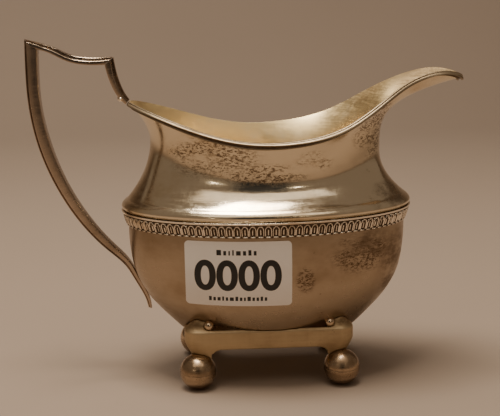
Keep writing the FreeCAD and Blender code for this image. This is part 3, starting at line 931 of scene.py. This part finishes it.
def label():
    """Thin sheet with rounded corners that follows the belly."""
    rows = LABEL_ROWS
    columns = LABEL_COLUMNS
    share = 0.5 - 0.5 * np.cos(np.linspace(0, math.pi, rows))
    z = LABEL_Z[0] + (LABEL_Z[1] - LABEL_Z[0]) * share
    from_end = np.minimum(z - LABEL_Z[0], LABEL_Z[1] - z)
    in_corner = LABEL_CORNER - np.minimum(from_end, LABEL_CORNER)
    trim = LABEL_CORNER - np.sqrt(np.clip(LABEL_CORNER ** 2 - in_corner ** 2, 0, None))
    across = 0.5 - 0.5 * np.cos(np.linspace(0, math.pi, columns))
    span = LABEL_X[1] - LABEL_X[0] - 2 * trim
    x = (LABEL_X[0] + trim)[:, None] + span[:, None] * across[None, :]
    zz = np.repeat(z[:, None], columns, axis=1)
    outer = on_belly(x, zz, np.full(x.shape, SEAT + LABEL_THICKNESS))
    inner = on_belly(x, zz, np.full(x.shape, SEAT))
    points = np.concatenate([outer.reshape(-1, 3), inner.reshape(-1, 3)])
    size = rows * columns
    faces = grid_faces(rows, columns, False, False)
    faces += [tuple(size + i for i in reversed(f)) for f in faces[:]]
    border = list(range(columns))
    border += [i * columns + columns - 1 for i in range(1, rows)]
    border += [(rows - 1) * columns + j for j in reversed(range(columns - 1))]
    border += [i * columns for i in reversed(range(1, rows - 1))]
    for a, b in zip(border, border[1:] + border[:1]):
        faces.append((b, a, size + a, size + b))
    made = mesh_object("paper_label", points, faces, [LABEL_PAPER])
    sharpen(made, SHARP_EDGE)
    return carry(made, "lot_label", slot="label_paper")


def printed(name, outline_mesh, middle_x, middle_z):
    """Flat shape in the XY plane, in millimetres, laid on the label as a film of ink."""
    work = bmesh.new()
    work.from_mesh(outline_mesh)
    for axis, cuts in ((Vector((1, 0, 0)), 22), (Vector((0, 1, 0)), 8)):
        for i in range(-cuts, cuts + 1):
            bmesh.ops.bisect_plane(work, geom=work.verts[:] + work.edges[:] + work.faces[:],
                                   plane_co=axis * i, plane_no=axis)
    bmesh.ops.triangulate(work, faces=work.faces)
    mesh = bpy.data.meshes.new(name)
    work.to_mesh(mesh)
    work.free()
    count = len(mesh.vertices)
    flat = np.empty(count * 3)
    mesh.vertices.foreach_get("co", flat)
    flat = flat.reshape(-1, 3)
    lift = np.full(count, SEAT + LABEL_THICKNESS + INK_LIFT)
    laid = on_belly(flat[:, 0] + middle_x, flat[:, 1] + middle_z, lift)
    mesh.vertices.foreach_set("co", (laid * MM).ravel())
    mesh.materials.append(LABEL_INK)
    mesh.update()
    made = bpy.data.objects.new(name, mesh)
    bpy.context.scene.collection.objects.link(made)
    return carry(made, slot="label_paper")


def text_outline(words, size, boldness):
    """Flat mesh of a line of text, centred, in millimetres."""
    curve = bpy.data.curves.new("outline", "FONT")
    curve.body = words
    curve.size = size
    curve.offset = boldness
    curve.align_x = "CENTER"
    curve.align_y = "CENTER"
    holder = bpy.data.objects.new("outline", curve)
    bpy.context.scene.collection.objects.link(holder)
    dg = bpy.context.evaluated_depsgraph_get()
    mesh = bpy.data.meshes.new_from_object(holder.evaluated_get(dg))
    bpy.data.objects.remove(holder)
    return mesh


def small_print(widths, gap, height):
    """Row of little blocks that stands for a line of small print."""
    x = -(sum(widths) + gap * (len(widths) - 1)) / 2
    points = []
    faces = []
    for i, width in enumerate(widths):
        first = len(points)
        top = height * (0.5 if i % 3 else 0.72)
        points += [(x, -height / 2, 0), (x + width, -height / 2, 0), (x + width, top, 0), (x, top, 0)]
        faces.append((first, first + 1, first + 2, first + 3))
        x += width + gap
    mesh = bpy.data.meshes.new("small_print")
    mesh.from_pydata(points, [], faces)
    return mesh


def label_print():
    """A row of noughts between two lines of small print."""
    number = text_outline("0000", NUMBER_SIZE, NUMBER_BOLDNESS)
    heading = small_print(HEADING_BLOCKS, HEADING_GAP, HEADING_HEIGHT)
    footing = small_print(FOOTING_BLOCKS, FOOTING_GAP, FOOTING_HEIGHT)
    for name, outline_mesh, (across, up) in (
            ("label_number", number, NUMBER_PLACE),
            ("label_heading", heading, HEADING_PLACE),
            ("label_footing", footing, FOOTING_PLACE)):
        middle_x = (LABEL_X[0] + LABEL_X[1]) / 2 + across
        printed(name, outline_mesh, middle_x, LABEL_Z[0] + (LABEL_Z[1] - LABEL_Z[0]) * up)


# ---- studio, in metres and degrees ---------------------------------------------------------------
CAMERA_DISTANCE = 0.420       # level distance from the body's axis
CAMERA_AZIMUTH = 3.495        # round from straight in front, towards the handle
CAMERA_HEIGHT = 0.1429
CAMERA_TILT = 11.391          # downwards
CAMERA_SWING = -0.774         # away from the body's axis
CAMERA_ROLL = -1.14
CAMERA_LENS = 88.27
SENSOR_WIDTH = 36.0
NEAREST_SEEN = 0.01
SWEEP_HALF_WIDTH = 1.6
SWEEP_FRONT = -1.30
SWEEP_BACK = 0.95
SWEEP_BEND = 0.35             # radius between the floor and the upright part
SWEEP_TOP = 1.6
STAND_HALF_WIDTH = 0.19
STAND_TOP = 0.60
STAND_Y = -0.62
LAMPS = (                     # name, place, target, size, power in watts, colour
    ("overhead_softbox", (-0.07, -0.05, 0.80), (0, 0, 0.05), (0.34, 0.27), 8.0, (1.0, 0.90, 0.76)),
    ("front_fill", (0.0, -0.42, 0.72), (0, 0, 0.08), (0.9, 0.35), 1.2, (1.0, 0.88, 0.72)),
    ("left_lamp", (-0.33, -0.60, 0.28), (0, 0, 0.08), (0.03, 0.02), 0.06, (1.0, 0.86, 0.66)),
    ("right_lamp", (0.235, -0.60, 0.34), (0, 0, 0.08), (0.03, 0.02), 0.06, (1.0, 0.86, 0.66)),
    ("rear_softbox", (-0.45, 0.30, 0.95), (0, 0.22, 0.0), (1.0, 0.5), 5.0, (1.0, 0.93, 0.82)),
)
AIR_COLOUR = (0.50, 0.385, 0.28)
AIR_STRENGTH = 0.42


def camera():
    """Camera a little above the jug and a little towards its handle."""
    data = bpy.data.cameras.new("camera")
    made = bpy.data.objects.new("camera", data)
    bpy.context.scene.collection.objects.link(made)
    data.sensor_width = SENSOR_WIDTH
    data.lens = CAMERA_LENS
    data.clip_start = NEAREST_SEEN
    azimuth = math.radians(CAMERA_AZIMUTH)
    heading = azimuth + math.radians(CAMERA_SWING)
    tilt = math.radians(CAMERA_TILT)
    roll = math.radians(CAMERA_ROLL)
    beside = BODY_X * MM - CAMERA_DISTANCE * math.sin(azimuth)
    made.location = (beside, -CAMERA_DISTANCE * math.cos(azimuth), CAMERA_HEIGHT)
    ahead = math.cos(tilt)
    forward = Vector((math.sin(heading) * ahead, math.cos(heading) * ahead, -math.sin(tilt)))
    level = Vector((math.cos(heading), -math.sin(heading), 0.0))
    upright = level.cross(forward)
    right = math.cos(roll) * level + math.sin(roll) * upright
    up = math.cos(roll) * upright - math.sin(roll) * level
    turn = Matrix((right, up, -forward)).transposed()
    made.rotation_mode = "QUATERNION"
    made.rotation_quaternion = turn.to_quaternion()
    bpy.context.scene.camera = made


def stage_material(name, colour, roughness):
    """Card or cloth with a slow, slight change of tone."""
    s = Shader(name)
    grain = s.noise(6.0, 3.0, 0.5)
    darker = tuple(c * 0.93 for c in colour)
    s.link(s.mix(grain, colour, darker), s.surface.inputs["Base Color"])
    s.surface.inputs["Roughness"].default_value = roughness
    s.surface.inputs["Specular IOR Level"].default_value = 0.2
    return s.material


def backdrop():
    """Floor that sweeps up behind the jug in one curve."""
    bend_y = SWEEP_BACK - SWEEP_BEND
    profile = [(SWEEP_FRONT, 0.0), (bend_y, 0.0)]
    for a in np.linspace(0, math.pi / 2, 20)[1:]:
        profile.append((bend_y + SWEEP_BEND * math.sin(a), SWEEP_BEND - SWEEP_BEND * math.cos(a)))
    profile.append((SWEEP_BACK, SWEEP_TOP))
    points = [(x, y, z) for y, z in profile for x in (-SWEEP_HALF_WIDTH, SWEEP_HALF_WIDTH)]
    faces = [(2 * i, 2 * i + 1, 2 * i + 3, 2 * i + 2) for i in range(len(profile) - 1)]
    made = mesh_object("studio_sweep", np.array(points) / MM, faces,
                       [stage_material("sweep_card", (0.288, 0.223, 0.175), 0.7)])
    if made.data.polygons[0].normal.z < 0:
        made.data.flip_normals()


def dark_card():
    """Dark stand behind the camera, which the neck of the jug mirrors."""
    half = STAND_HALF_WIDTH
    outline = ((-half, 0.0), (half, 0.0), (half, STAND_TOP), (-half, STAND_TOP))
    points = [(x, STAND_Y, z) for x, z in outline]
    made = mesh_object("dark_stand", np.array(points) / MM, [(0, 1, 2, 3)],
                       [stage_material("dark_cloth", (0.03, 0.033, 0.04), 0.9)])


def area_light(name, place, target, size, power, colour):
    """Rectangular soft light at a place, facing its target."""
    data = bpy.data.lights.new(name, "AREA")
    data.shape = "RECTANGLE"
    data.size, data.size_y = size
    data.energy = power
    data.color = colour
    made = bpy.data.objects.new(name, data)
    bpy.context.scene.collection.objects.link(made)
    made.location = place
    made.rotation_mode = "QUATERNION"
    made.rotation_quaternion = (Vector(target) - Vector(place)).to_track_quat("-Z", "Y")
    return made


def lights():
    """The lamps, of which the silver doesn't mirror the rear one, and a dim warm room."""
    for lamp in LAMPS:
        made = area_light(*lamp)
        made.visible_glossy = made.name != "rear_softbox"
    world = bpy.data.worlds.new("studio_air")
    world.use_nodes = True
    air = world.node_tree.nodes["Background"]
    air.inputs["Color"].default_value = (*AIR_COLOUR, 1.0)
    air.inputs["Strength"].default_value = AIR_STRENGTH
    bpy.context.scene.world = world


# ---- the whole jug -------------------------------------------------------------------------------
CORNERS = (("front_handle", -1), ("front_spout", -1), ("rear_handle", 1), ("rear_spout", 1))

camera()
backdrop()
dark_card()
lights()
belly()
neck()
rim()
band()
bar("riser_bar", RISER, count=40, node="handle_riser")
riser_bead()
bar("top_bar", TOP_BAR, count=60, node="handle_top_bar")
bar("grip_bar", GRIP, count=160, node="handle_grip")
foot_frame()
for corner_name, side_y in CORNERS:
    stud(corner_name, side_y)
    ball_half(corner_name, True)
    ball_half(corner_name, False)
base_plate()
label()
label_print()

bpy.context.view_layer.update()
